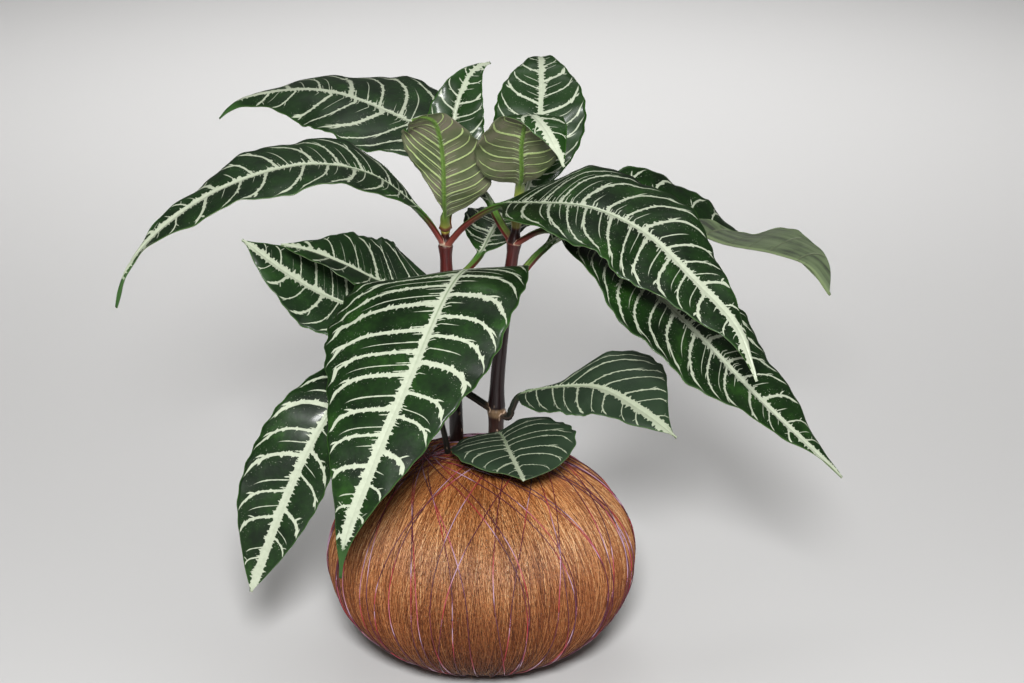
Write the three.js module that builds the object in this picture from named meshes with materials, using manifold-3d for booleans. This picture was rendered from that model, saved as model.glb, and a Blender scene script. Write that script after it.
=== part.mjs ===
// A zebra plant growing out of a ball of soil, which is wrapped in wound coir yarn and bound with thread.
// Millimetres, +Z up. The origin is the middle of the small flat spot that the ball rests on.

import * as THREE from 'three';
import { mergeVertices } from 'three/addons/utils/BufferGeometryUtils.js';
import Module from 'manifold-3d';

const wasm = await Module();
wasm.setup();

// Driving dimensions
const BALL_HALF_WIDTH = 85.5;
const BALL_HALF_HEIGHT = 62;
const BALL_MIDDLE_HEIGHT = 61.2;
const WRAP_THICKNESS = 5;
const YARN_RELIEF = 0.5;
const YARN_COLUMNS = 72;
const SOIL_COLUMNS = 36;
const BALL_ROWS = 12;
const YARN_SLANT_DEG = 25;
const CROWN_MIDDLE = new THREE.Vector2(-4, 8);
const CROWN_RADIUS = 22;
const CROWN_SIDES = 24;
const ABOVE_BALL = 2 * BALL_HALF_HEIGHT + 10;
const GAP = 0.3;
const THREAD_RADIUS = 0.5;
const THREAD_SIDES = 3;
const THREAD_STEPS = 32;
const THREAD_LOOPS = 8;
const THREAD_LIFT = 1.7;
const THREAD_SLOPES_DEG = [58, 61];
const THREAD_FIRST_TURN_DEG = 13.5;
const STEM_SIDES = 8;
const STEM_HOLE_SIDES = 12;
const JOINT_SWELL = 0.22;
const JOINT_REACH = 4;
const SHOOT_TAPER = 5;
const STALK_RADIUS = 1.9;
const STALK_GAP = 0.45;
const BLADE_THICKNESS = 0.9;
const BLADE_MIN_HALF_WIDTH = 1.3;
const BLADE_START = 0.08;
const KEEL_DEPTH = 1.5;
const DROOP = 0.1;
const WAVE_SHIFT = 1.7;

const material = (color, roughness) => new THREE.MeshStandardMaterial({ color, roughness, metalness: 0 });
const coirYarn = material(0xa57546, 0.85);
const variegatedThread = material(0x9a5a6a, 0.6);
const darkSoil = material(0x2f2117, 0.95);
const redStem = material(0x5a2a28, 0.5);
const agedStem = material(0x3c2a22, 0.7);
const leafGreen = material(0x1f4a26, 0.35);

const group = new THREE.Group();

function addMesh(name, geometry, finish) {
  const mesh = new THREE.Mesh(geometry, finish);
  mesh.name = name;
  group.add(mesh);
}

// Conversions between three.js geometry and solids that can be joined and cut
function toSolid(geometry) {
  const bare = geometry.clone();
  bare.deleteAttribute('normal');
  bare.deleteAttribute('uv');
  const merged = mergeVertices(bare, 1e-4);
  const vertProperties = new Float32Array(merged.attributes.position.array);
  const triVerts = new Uint32Array(merged.index.array);
  return new wasm.Manifold(new wasm.Mesh({ numProp: 3, vertProperties, triVerts }));
}

function toGeometry(solid) {
  const mesh = solid.getMesh();
  const geometry = new THREE.BufferGeometry();
  geometry.setAttribute('position', new THREE.BufferAttribute(new Float32Array(mesh.vertProperties), 3));
  geometry.setIndex(new THREE.BufferAttribute(new Uint32Array(mesh.triVerts), 1));
  return geometry;
}

function meshFrom(points, triangles) {
  const geometry = new THREE.BufferGeometry();
  const numbers = points.flatMap((p) => [p.x, p.y, p.z]);
  geometry.setAttribute('position', new THREE.Float32BufferAttribute(numbers, 3));
  geometry.setIndex(triangles);
  geometry.computeVertexNormals();
  return geometry;
}

// The ball: a slightly flattened round body
function ballRadius(direction, outset) {
  const level = Math.hypot(direction.x, direction.y) / (BALL_HALF_WIDTH + outset);
  const rise = direction.z / (BALL_HALF_HEIGHT + outset);
  return 1 / Math.hypot(level, rise);
}

function ballPoint(direction, outset) {
  const point = direction.clone().multiplyScalar(ballRadius(direction, outset));
  point.z += BALL_MIDDLE_HEIGHT;
  return point;
}

// A closed body of the ball's form, cut off level at its foot, with ridges that climb it at a slant
function ballBody(outset, floor, columns, ridge) {
  const points = [];
  const triangles = [];
  const top = ballPoint(new THREE.Vector3(0, 0, 1), outset);
  const footAngle = footElevation(outset, floor);
  for (let row = 0; row <= BALL_ROWS; row += 1) {
    const elevation = footAngle + ((Math.PI / 2 - footAngle) * row) / (BALL_ROWS + 1);
    const slant = THREE.MathUtils.degToRad(YARN_SLANT_DEG) * (row / BALL_ROWS);
    for (let column = 0; column < columns; column += 1) {
      const turn = (2 * Math.PI * column) / columns + slant;
      const direction = new THREE.Vector3(
        Math.cos(elevation) * Math.cos(turn),
        Math.cos(elevation) * Math.sin(turn),
        Math.sin(elevation),
      );
      const raised = row > 0 && column % 2 === 0 ? ridge : 0;
      points.push(ballPoint(direction, outset + raised));
    }
  }
  const topIndex = points.push(top) - 1;
  const footIndex = points.push(new THREE.Vector3(0, 0, floor)) - 1;
  for (let column = 0; column < columns; column += 1) {
    const next = (column + 1) % columns;
    for (let row = 0; row < BALL_ROWS; row += 1) {
      const a = row * columns + column;
      const b = row * columns + next;
      triangles.push(a, b, b + columns, a, b + columns, a + columns);
    }
    const last = BALL_ROWS * columns;
    triangles.push(last + column, last + next, topIndex);
    triangles.push(next, column, footIndex);
  }
  return meshFrom(points, triangles);
}

// The direction, below the middle of the ball, in which its surface meets the level of its foot
function footElevation(outset, floor) {
  let low = -Math.PI / 2;
  let high = 0;
  for (let step = 0; step < 40; step += 1) {
    const middle = (low + high) / 2;
    const direction = new THREE.Vector3(Math.cos(middle), 0, Math.sin(middle));
    if (ballPoint(direction, outset).z < floor) {
      low = middle;
    } else {
      high = middle;
    }
  }
  return high;
}

function uprightCylinder(radius, x, y, bottom, top, sides) {
  const geometry = new THREE.CylinderGeometry(radius, radius, top - bottom, sides);
  geometry.rotateX(Math.PI / 2);
  geometry.translate(x, y, (top + bottom) / 2);
  return geometry;
}

// Stems: each is a list of points from the root up, the radii at its foot, below its shoot and in its shoot,
// the height where the young shoot starts, and the heights of its leaf joints
const STEMS = {
  a: {
    route: [[-13, 18, 92], [-14, 18, 121], [-15, 18, 158], [-18, 16, 205], [-19, 15, 235], [-19, 13, 250]],
    radii: [4.3, 3.6, 2.3],
    shootHeight: 238,
    joints: [188, 214, 236],
    finish: redStem,
  },
  b: {
    route: [[8, 10, 92], [8, 10, 125], [9, 10, 161], [13, 10, 201], [18, 10, 238], [20, 9, 257]],
    radii: [4.4, 3.7, 2.4],
    shootHeight: 241,
    joints: [143, 208, 239],
    finish: redStem,
  },
  c: {
    route: [[-17, -1, 92], [-18, -2, 117], [-19, -4, 128], [-22, -7, 144]],
    radii: [1.9, 1.5, 1.5],
    shootHeight: 200,
    joints: [],
    finish: agedStem,
  },
};

const curveThrough = (route) => {
  const curve = new THREE.CatmullRomCurve3(route.map((p) => new THREE.Vector3(...p)), false, 'centripetal');
  curve.arcLengthDivisions = 400;
  return curve;
};

function stemRadius(stem, height) {
  const bottom = stem.route[0][2];
  const top = stem.route[stem.route.length - 1][2];
  const share = THREE.MathUtils.clamp((height - bottom) / (Math.min(top, stem.shootHeight) - bottom), 0, 1);
  let radius = stem.radii[0] + (stem.radii[1] - stem.radii[0]) * share;
  const shoot = THREE.MathUtils.clamp((height - stem.shootHeight) / SHOOT_TAPER, 0, 1);
  radius += (stem.radii[2] - stem.radii[1]) * shoot;
  for (const joint of stem.joints) {
    const away = (height - joint) / JOINT_REACH;
    radius *= 1 + JOINT_SWELL * Math.exp(-away * away);
  }
  return radius;
}

function stemHeights(stem) {
  const bottom = stem.route[0][2];
  const top = stem.route[stem.route.length - 1][2];
  const heights = new Set([bottom, top]);
  for (const joint of stem.joints) {
    for (const step of [-1.2, -0.6, 0, 0.6, 1.2]) {
      heights.add(joint + step * JOINT_REACH);
    }
  }
  for (const point of stem.route) {
    const clear = stem.joints.every((joint) => Math.abs(joint - point[2]) > 2 * JOINT_REACH);
    if (clear) {
      heights.add(point[2]);
    }
  }
  return [...heights].filter((h) => h >= bottom && h <= top).sort((a, b) => a - b);
}

// The point of a stem's axis at a height
function stemAxis(stem, height) {
  let low = 0;
  let high = 1;
  for (let step = 0; step < 30; step += 1) {
    const middle = (low + high) / 2;
    if (stem.curve.getPointAt(middle).z < height) {
      low = middle;
    } else {
      high = middle;
    }
  }
  return stem.curve.getPointAt(high);
}

function ringedSolid(rings) {
  const sides = rings[0].length;
  const points = rings.flat();
  const triangles = [];
  for (let ring = 0; ring < rings.length - 1; ring += 1) {
    for (let side = 0; side < sides; side += 1) {
      const a = ring * sides + side;
      const b = ring * sides + ((side + 1) % sides);
      triangles.push(a, b, b + sides, a, b + sides, a + sides);
    }
  }
  const last = (rings.length - 1) * sides;
  for (let side = 1; side < sides - 1; side += 1) {
    triangles.push(0, side + 1, side);
    triangles.push(last, last + side, last + side + 1);
  }
  return meshFrom(points, triangles);
}

function stemSolid(stem) {
  const rings = stemHeights(stem).map((height) => {
    const centre = stemAxis(stem, height);
    const radius = stemRadius(stem, height);
    return Array.from({ length: STEM_SIDES }, (_, side) => {
      const turn = (2 * Math.PI * side) / STEM_SIDES;
      const outward = new THREE.Vector3(Math.cos(turn), Math.sin(turn), 0);
      return centre.clone().addScaledVector(outward, radius);
    });
  });
  return ringedSolid(rings);
}

for (const stem of Object.values(STEMS)) {
  stem.curve = curveThrough(stem.route);
}

// Soil: the root ball, with a plain hole for each stem, wide enough for the stem's lean
const soilOutset = -WRAP_THICKNESS - GAP;
let soil = toSolid(ballBody(soilOutset, WRAP_THICKNESS + GAP, SOIL_COLUMNS, 0));
for (const stem of Object.values(STEMS)) {
  const foot = stem.route[0];
  const mouth = stem.route[1];
  const width = stemRadius(stem, foot[2]) + GAP;
  const spread = Math.max(Math.abs(mouth[0] - foot[0]), Math.abs(mouth[1] - foot[1]));
  const hole = uprightCylinder(
    (width + spread) / Math.cos(Math.PI / STEM_HOLE_SIDES),
    foot[0] + (mouth[0] - foot[0]) / 2,
    foot[1] + (mouth[1] - foot[1]) / 2,
    foot[2] - GAP,
    ABOVE_BALL,
    STEM_HOLE_SIDES,
  );
  soil = soil.subtract(toSolid(hole));
}
addMesh('soil_root_ball', toGeometry(soil), darkSoil);

// Coir wrap: a thick skin of wound yarn, open at the crown where the stems come out
const wrapOuter = toSolid(ballBody(0, 0, YARN_COLUMNS, YARN_RELIEF));
const wrapInner = toSolid(ballBody(-WRAP_THICKNESS, WRAP_THICKNESS, SOIL_COLUMNS, 0));
const crown = toSolid(
  uprightCylinder(CROWN_RADIUS, CROWN_MIDDLE.x, CROWN_MIDDLE.y, BALL_MIDDLE_HEIGHT, ABOVE_BALL, CROWN_SIDES),
);
addMesh('coir_wrap', toGeometry(wrapOuter.subtract(wrapInner).subtract(crown)), coirYarn);

// Binding thread: closed turns round the ball, each passing the crown on one side and the foot opposite
function threadLoop(turn, slopeDeg) {
  const slope = THREE.MathUtils.degToRad(slopeDeg);
  const along = new THREE.Vector3(Math.cos(turn), Math.sin(turn), 0);
  const level = new THREE.Vector3(-Math.sin(turn), Math.cos(turn), 0);
  const up = level.multiplyScalar(Math.cos(slope)).setZ(Math.sin(slope));
  const across = new THREE.Vector3().crossVectors(along, up);
  const centres = Array.from({ length: THREAD_STEPS }, (_, step) => {
    const angle = (2 * Math.PI * (step + 0.5)) / THREAD_STEPS;
    const direction = along.clone().multiplyScalar(Math.cos(angle)).addScaledVector(up, Math.sin(angle));
    return ballPoint(direction, THREAD_LIFT);
  });
  const middle = new THREE.Vector3(0, 0, BALL_MIDDLE_HEIGHT);
  const points = centres.flatMap((centre) => {
    const outward = centre.clone().sub(middle).normalize();
    return Array.from({ length: THREAD_SIDES }, (_, side) => {
      const angle = (2 * Math.PI * side) / THREAD_SIDES;
      return centre
        .clone()
        .addScaledVector(outward, THREAD_RADIUS * Math.cos(angle))
        .addScaledVector(across, THREAD_RADIUS * Math.sin(angle));
    });
  });
  const triangles = [];
  for (let step = 0; step < THREAD_STEPS; step += 1) {
    for (let side = 0; side < THREAD_SIDES; side += 1) {
      const a = step * THREAD_SIDES + side;
      const b = step * THREAD_SIDES + ((side + 1) % THREAD_SIDES);
      const c = ((step + 1) % THREAD_STEPS) * THREAD_SIDES + ((side + 1) % THREAD_SIDES);
      const d = ((step + 1) % THREAD_STEPS) * THREAD_SIDES + side;
      triangles.push(a, c, b, a, d, c);
    }
  }
  return toSolid(meshFrom(points, triangles));
}

let thread = null;
for (let loop = 0; loop < THREAD_LOOPS; loop += 1) {
  const turn = THREE.MathUtils.degToRad(THREAD_FIRST_TURN_DEG + (360 * loop) / THREAD_LOOPS);
  const loopSolid = threadLoop(turn, THREAD_SLOPES_DEG[loop % THREAD_SLOPES_DEG.length]);
  thread = thread ? thread.add(loopSolid) : loopSolid;
}
addMesh('binding_thread', toGeometry(thread), variegatedThread);

addMesh('stem_left', stemSolid(STEMS.a), STEMS.a.finish);
addMesh('stem_right', stemSolid(STEMS.b), STEMS.b.finish);
addMesh('old_leaf_stalk', stemSolid(STEMS.c), STEMS.c.finish);

// Leaves. The route is the midrib, from the stem's axis to the tip, the stalk is the bare length before
// the blade, and steps is the number of the blade's sections. The half widths, the peak, the base and the
// tip are given for the right half and the left half, seen from the stem with the upper side up: the peak
// is the share of the length at which the blade is widest, and the base and the tip say how sharply it
// narrows there. The fold is the rise of each half from the midrib, at the base and at the tip. The wave
// is the height, number and phase of the waves of the edge. The face is the way the upper side looks, from
// the blade's base to its tip.
const LEAVES = [
  {
    name: 'leaf_left_top_front', stem: 'a', stalk: 10, steps: 11,
    half: [20, 26], peak: [0.6, 0.36], base: [1.3, 1.2], tip: [1, 1.9],
    fold: [0.3, 0.15], wave: [1, 3, 0], face: [[0, 1, 0.3], [0, 1, 0.5]],
    route: [
      [-19, 13, 246], [-19, 7, 254], [-19, -4, 270], [-19, -9, 285],
      [-20, -15, 301], [-23, -24, 314], [-30, -34, 319], [-34, -42, 319],
    ],
  },
  {
    name: 'leaf_left_top_back', stem: 'a', stalk: 14, steps: 11,
    half: [17, 15], peak: [0.45, 0.45], base: [1.1, 1.1], tip: [1.2, 1.5],
    fold: [0.3, 0.3], wave: [1, 3, 1], face: [[0, -1, 0.4], [0, -1, 0.6]],
    route: [
      [-19, 13, 246], [-18, 19, 254], [-18, 22, 266], [-16, 30, 290],
      [-13, 36, 308], [-8, 42, 321], [-2, 50, 327], [5, 58, 328],
    ],
  },
  {
    name: 'leaf_left_upper_left', stem: 'a', stalk: 25, steps: 16,
    half: [31, 28], peak: [0.28, 0.4], base: [2.2, 0.9], tip: [1.9, 1.9],
    fold: [0.12, 0.12], wave: [2, 4, 0], face: [[0, -0.2, 1], [0, -0.25, 1]],
    route: [
      [-19, 15, 236], [-30, 8, 255], [-55, 0, 279], [-89, -10, 288],
      [-132, -22, 279], [-165, -32, 259], [-183, -38, 239], [-189, -40, 219],
    ],
  },
  {
    name: 'leaf_left_upper_right', stem: 'a', stalk: 50, steps: 16,
    half: [37, 44], peak: [0.4, 0.3], base: [0.8, 0.7], tip: [1.3, 1.7],
    fold: [0.1, 0.1], wave: [2, 4, 2], face: [[0, -0.2, 1], [0, -0.3, 1]],
    route: [
      [-19, 15, 236], [-6, 0, 254], [10, -11, 266], [31, -24, 271],
      [58, -34, 271], [85, -46, 261], [109, -65, 242], [130, -85, 222],
      [139, -97, 199],
    ],
  },
  {
    name: 'leaf_left_middle_left', stem: 'a', stalk: 6, steps: 11,
    half: [31, 20], peak: [0.35, 0.6], base: [0.1, 1.4], tip: [1.2, 1.2],
    fold: [0.35, 0.35], wave: [1.5, 3, 0], face: [[0, -0.33, 1], [0, -0.33, 1]],
    route: [
      [-18, 16, 214], [-33, 2, 217], [-50, -5, 221], [-72, -12, 234],
      [-89, -15, 242], [-105, -16, 246],
    ],
  },
  {
    name: 'leaf_left_middle_right', stem: 'a', stalk: 30, steps: 11,
    half: [22, 22], peak: [0.45, 0.45], base: [1.1, 1.1], tip: [1.2, 1.2],
    fold: [0.15, 0.15], wave: [1.5, 3, 0], face: [[0, 0, 1], [0, 0, 1]],
    route: [
      [-18, 16, 213], [-3, 35, 222], [8, 60, 235], [19, 85, 237],
      [33, 110, 227],
    ],
  },
  {
    name: 'leaf_left_lower_left', stem: 'a', stalk: 28, steps: 11,
    half: [26, 24], peak: [0.45, 0.45], base: [1.1, 0.8], tip: [1.2, 1.2],
    fold: [0.15, 0.15], wave: [1.5, 3, 1], face: [[0, -0.8, 1], [0, -0.8, 1]],
    route: [
      [-17, 17, 188], [-44, 5, 197], [-80, 0, 211], [-102, -5, 226],
      [-126, -10, 247],
    ],
  },
  {
    name: 'leaf_right_top_front', stem: 'b', stalk: 22, steps: 11,
    half: [24, 21], peak: [0.35, 0.45], base: [1.1, 1.1], tip: [1.8, 1],
    fold: [-0.2, 0.15], wave: [1, 3, 0], face: [[0, 1, 0.2], [0, 0.3, 1], [0.3, -1, 0.3]],
    route: [
      [20, 9, 254], [20, 6, 261], [21, 4, 270], [22, -8, 284],
      [22, -22, 304], [26, -35, 320], [34, -47, 315], [43, -58, 299],
    ],
  },
  {
    name: 'leaf_right_top_back', stem: 'b', stalk: 16, steps: 11,
    half: [25, 25], peak: [0.45, 0.45], base: [1.1, 1.1], tip: [1.4, 1.4],
    fold: [0.15, 0.15], wave: [1, 3, 2], face: [[0, -1, 0.4], [0, -1, 0.8], [0, 0, 1]],
    route: [
      [20, 9, 252], [22, 16, 259], [27, 30, 270], [31, 38, 290],
      [33, 50, 312], [33, 74, 327], [33, 90, 323],
    ],
  },
  {
    name: 'leaf_right_upper_left', stem: 'b', stalk: 30, steps: 16,
    half: [46, 39], peak: [0.5, 0.48], base: [3.2, 1.1], tip: [1.5, 1.5],
    fold: [0.35, -0.35], wave: [2, 4, 0], face: [[0, -0.25, 1], [0, -0.25, 1]],
    route: [
      [18, 10, 239], [10, 27, 247], [-1, 50, 263], [-15, 66, 277],
      [-45, 84, 291], [-87, 100, 303], [-121, 108, 301], [-141, 110, 295],
      [-152, 110, 285],
    ],
  },
  {
    name: 'leaf_right_upper_right', stem: 'b', stalk: 27, steps: 16,
    half: [36, 36], peak: [0.45, 0.45], base: [1.1, 1.1], tip: [1.9, 1.1],
    fold: [0.15, 0.15], wave: [2, 4, 1], face: [[0, -0.2, 1], [0, -0.2, 1]],
    route: [
      [18, 10, 239], [37, -5, 251], [74, -25, 238], [109, -47, 211],
      [148, -65, 174], [187, -80, 140],
    ],
  },
  {
    name: 'leaf_right_middle_left', stem: 'b', stalk: 27, steps: 16,
    half: [57, 38], peak: [0.36, 0.33], base: [0.8, 0.9], tip: [1.5, 1.4],
    fold: [-0.1, 0.15], wave: [2, 4, 0], face: [[-0.38, -0.5, 1], [-0.38, -1, 0.7], [-0.2, -1, 0.3]],
    route: [
      [13, 10, 206], [6, -8, 214], [0, -24, 229], [-6, -40, 240],
      [-15, -62, 236], [-35, -98, 199], [-53, -118, 160], [-66, -124, 125],
      [-69, -124, 104],
    ],
  },
  {
    name: 'leaf_right_middle_right', stem: 'b', stalk: 32, steps: 16,
    half: [19, 22], peak: [0.74, 0.5], base: [1.7, 0.8], tip: [1.1, 1.8],
    fold: [1.5, 0.4], wave: [2, 4, 0], face: [[0, -0.3, 1], [0, 0, 1], [0, 0.8, 1]],
    route: [
      [14, 10, 211], [35, 25, 232], [66, 42, 243], [100, 58, 241],
      [137, 75, 221], [169, 90, 210], [191, 98, 199], [204, 100, 181],
    ],
  },
  {
    name: 'leaf_right_lower_left', stem: 'b', stalk: 38, steps: 16,
    half: [27, 18], peak: [0.62, 0.62], base: [0.75, 1.1], tip: [1, 1],
    fold: [0.15, 0.15], wave: [2, 4, 0], face: [[0, -0.6, 1], [0, -1, 0.4]],
    route: [
      [8, 10, 142], [-14, 2, 160], [-35, -12, 175], [-56, -28, 179],
      [-71, -40, 172], [-87, -52, 151], [-103, -60, 118], [-122, -65, 68],
    ],
  },
  {
    name: 'leaf_right_lower_right', stem: 'b', stalk: 24, steps: 11,
    half: [24, 34], peak: [0.4, 0.57], base: [0.9, 3], tip: [1.2, 1.6],
    fold: [0.15, 0.15], wave: [1.5, 3, 0], face: [[0, -0.4, 1], [0, -0.6, 1]],
    route: [
      [9, 10, 143], [15, 4, 141], [17, 2, 147], [20, 0, 154], [26, -4, 159],
      [48, -12, 165], [66, -22, 167], [88, -38, 159], [104, -47, 149],
    ],
  },
  {
    name: 'leaf_right_foot_front', stem: 'b', stalk: 9, steps: 9,
    half: [30, 36], peak: [0.45, 0.6], base: [0.5, 0.5], tip: [1.2, 0.6],
    fold: [0.4, 0.15], wave: [1, 2, 0], face: [[-0.3, 0, 1], [0, -0.4, 1]],
    route: [
      [8, 10, 128], [10, 0, 133], [12, -8, 134], [16, -32, 134],
      [23, -60, 130],
    ],
  },
];

const smooth = (x) => {
  const t = THREE.MathUtils.clamp(x, 0, 1);
  return t * t * (3 - 2 * t);
};

// The way a leaf's upper side looks at a share of its length, turning evenly from one given way to the next
function faceAt(faces, share) {
  const place = THREE.MathUtils.clamp(share, 0, 1) * (faces.length - 1);
  const first = Math.min(Math.floor(place), faces.length - 2);
  const from = new THREE.Vector3(...faces[first]).normalize();
  const to = new THREE.Vector3(...faces[first + 1]).normalize();
  return from.lerp(to, smooth(place - first));
}

// How wide one half of the blade is at a share of its length, from 0 to 1
function bladeShare(leaf, share, half) {
  if (share <= 0 || share >= 1) {
    return 0;
  }
  const bend = Math.log(0.5) / Math.log(leaf.peak[half]);
  const arch = Math.sin(Math.PI * Math.pow(share, bend));
  return Math.pow(arch, share < leaf.peak[half] ? leaf.base[half] : leaf.tip[half]);
}

const ACROSS = [-1, -0.5, 0, 0.5, 1];

// One section of a leaf: round on the stalk, and a thin, folded and waved strip with a keel on the blade
function leafRing(leaf, curve, length, distance) {
  const way = Math.min(distance / length, 1);
  const centre = curve.getPointAt(way);
  const along = curve.getTangentAt(way);
  const share = (distance - leaf.stalk) / (length - leaf.stalk);
  const right = new THREE.Vector3().crossVectors(along, faceAt(leaf.face, share)).normalize();
  const up = new THREE.Vector3().crossVectors(right, along);
  const fold = THREE.MathUtils.lerp(leaf.fold[0], leaf.fold[1], THREE.MathUtils.clamp(share, 0, 1));
  const [height, count, phase] = leaf.wave;
  const wave = share > 0 && share < 1 ? height * Math.sqrt(Math.sin(Math.PI * share)) : 0;
  const keel = KEEL_DEPTH * (1 - THREE.MathUtils.clamp(share, 0, 1));
  const bladeness = smooth(share / BLADE_START);
  const top = [];
  const bottom = [];
  ACROSS.forEach((u, index) => {
    const half = u > 0 ? 0 : 1;
    const reach = Math.max(leaf.half[half] * bladeShare(leaf, share, half), BLADE_MIN_HALF_WIDTH);
    const ripple = wave * u * u * Math.sin(2 * Math.PI * count * share + phase + (u > 0 ? WAVE_SHIFT : 0));
    const rise = reach * (fold * Math.abs(u) - DROOP * u * u) + ripple;
    const turn = Math.PI * (1 - (index + 0.5) / ACROSS.length);
    const depth = BLADE_THICKNESS / 2 + (u === 0 ? keel : 0);
    const place = (sideways, rising) => (
      centre.clone().addScaledVector(right, sideways).addScaledVector(up, rising)
    );
    const stalkAcross = STALK_RADIUS * Math.cos(turn);
    const stalkUp = STALK_RADIUS * Math.sin(turn);
    const sideways = THREE.MathUtils.lerp(stalkAcross, reach * u, bladeness);
    top.push(place(sideways, THREE.MathUtils.lerp(stalkUp, rise + BLADE_THICKNESS / 2, bladeness)));
    bottom.push(place(sideways, THREE.MathUtils.lerp(-stalkUp, rise - depth, bladeness)));
  });
  return { top, bottom, along };
}

// The widest that a stem is over the height of a stalk's end, with the gap between the two
function seatRadius(stem, height) {
  const radii = [-1.5, 0, 1.5].map((step) => stemRadius(stem, height + step * STALK_RADIUS));
  return Math.max(...radii) + STALK_GAP;
}

// The distance along a leaf's route at which it comes clear of its stem
function leafStart(leaf, curve, length) {
  const stem = STEMS[leaf.stem];
  const step = 0.1;
  for (let distance = 0; distance < length; distance += step) {
    const point = curve.getPointAt(distance / length);
    const axis = stemAxis(stem, point.z);
    const reach = Math.hypot(point.x - axis.x, point.y - axis.y);
    if (reach >= seatRadius(stem, point.z)) {
      return distance;
    }
  }
  return 0;
}

// The first ring's corners slide along the stalk until its end lies along the stem's side
function fitToStem(leaf, ring, distance, curve, length) {
  const stem = STEMS[leaf.stem];
  const point = curve.getPointAt(distance / length);
  const middle = stemAxis(stem, point.z);
  const outward = new THREE.Vector3(point.x - middle.x, point.y - middle.y, 0).normalize();
  const leastSlope = 0.35;
  const slope = Math.max(ring.along.dot(outward), leastSlope);
  for (const corner of [...ring.top, ...ring.bottom]) {
    for (let round = 0; round < 4; round += 1) {
      const axis = stemAxis(stem, corner.z);
      const wanted = outward.dot(axis) + seatRadius(stem, corner.z);
      corner.addScaledVector(ring.along, (wanted - outward.dot(corner)) / slope);
    }
  }
}

function leafSolid(leaf) {
  const curve = curveThrough(leaf.route);
  const length = curve.getLength();
  const start = leafStart(leaf, curve, length);
  const distances = [start, (start + leaf.stalk) / 2];
  for (let step = 0; step <= leaf.steps; step += 1) {
    distances.push(leaf.stalk + ((length - leaf.stalk) * step) / leaf.steps);
  }
  const rings = distances.map((distance) => leafRing(leaf, curve, length, distance));
  fitToStem(leaf, rings[0], start, curve, length);
  const count = ACROSS.length;
  const points = rings.flatMap((ring) => [...ring.top, ...ring.bottom]);
  const triangles = [];
  const end = count - 1;
  const top = (ring, k) => 2 * count * ring + k;
  const bottom = (ring, k) => top(ring, k) + count;
  for (let ring = 0; ring < rings.length - 1; ring += 1) {
    for (let k = 0; k < end; k += 1) {
      triangles.push(top(ring, k), top(ring, k + 1), top(ring + 1, k + 1));
      triangles.push(top(ring, k), top(ring + 1, k + 1), top(ring + 1, k));
      triangles.push(bottom(ring, k), bottom(ring + 1, k + 1), bottom(ring, k + 1));
      triangles.push(bottom(ring, k), bottom(ring + 1, k), bottom(ring + 1, k + 1));
    }
    const left = [top(ring, 0), top(ring + 1, 0), bottom(ring + 1, 0), bottom(ring, 0)];
    const right = [top(ring, end), bottom(ring, end), bottom(ring + 1, end), top(ring + 1, end)];
    for (const [a, b, c, d] of [left, right]) {
      triangles.push(a, b, c, a, c, d);
    }
  }
  const last = rings.length - 1;
  for (let k = 0; k < end; k += 1) {
    triangles.push(top(0, k), bottom(0, k), bottom(0, k + 1), top(0, k), bottom(0, k + 1), top(0, k + 1));
    triangles.push(top(last, k), bottom(last, k + 1), bottom(last, k));
    triangles.push(top(last, k), top(last, k + 1), bottom(last, k + 1));
  }
  return meshFrom(points, triangles);
}

for (const leaf of LEAVES) {
  addMesh(leaf.name, leafSolid(leaf), leafGreen);
}

export default group;
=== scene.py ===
"""The finished surfaces of a zebra plant that grows out of a soil ball wound with coir yarn."""

import math

import bpy
import numpy as np
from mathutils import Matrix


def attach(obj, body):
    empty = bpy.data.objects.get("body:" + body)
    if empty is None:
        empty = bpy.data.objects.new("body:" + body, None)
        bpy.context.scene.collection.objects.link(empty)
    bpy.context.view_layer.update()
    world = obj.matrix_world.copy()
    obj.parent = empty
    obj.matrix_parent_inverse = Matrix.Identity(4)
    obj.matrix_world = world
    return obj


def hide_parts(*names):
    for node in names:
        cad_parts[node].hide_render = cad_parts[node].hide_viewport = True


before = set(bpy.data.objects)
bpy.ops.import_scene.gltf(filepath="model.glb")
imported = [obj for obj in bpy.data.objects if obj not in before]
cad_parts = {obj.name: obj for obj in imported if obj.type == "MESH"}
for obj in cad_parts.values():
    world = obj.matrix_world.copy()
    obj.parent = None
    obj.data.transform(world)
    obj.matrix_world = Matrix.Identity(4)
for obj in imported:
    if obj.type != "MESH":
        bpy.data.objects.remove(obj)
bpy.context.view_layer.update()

mm = 0.001


# Camera: a 75 mm lens on a 36 mm wide sensor, about a metre in front of the plant and half a metre up.
# It looks straight at the plant and 19 degrees down, so that the crown of the ball shows.
scene = bpy.context.scene
camera_place = (17 * mm, -1096 * mm, 564 * mm)
degrees_down = 19


def add_object(name, data):
    piece = bpy.data.objects.new(name, data)
    scene.collection.objects.link(piece)
    return piece


lens = bpy.data.cameras.new("front_camera")
lens.lens = 75
lens.sensor_width = 36
camera = add_object("front_camera", lens)
camera.location = camera_place
camera.rotation_euler = (math.radians(90 - degrees_down), 0, 0)
scene.camera = camera


# Soil: the moist, dark root ball inside the wrap, pressed into shape by hand. It shows only at the crown,
# as a rough floor with crumbs of peat round the feet of the stems.
def operator(operation, flipped=False):
    """An operator of two values, which makes a maths node."""
    def method(self, other):
        return self.graph.maths(operation, *((other, self) if flipped else (self, other)))
    return method


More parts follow.
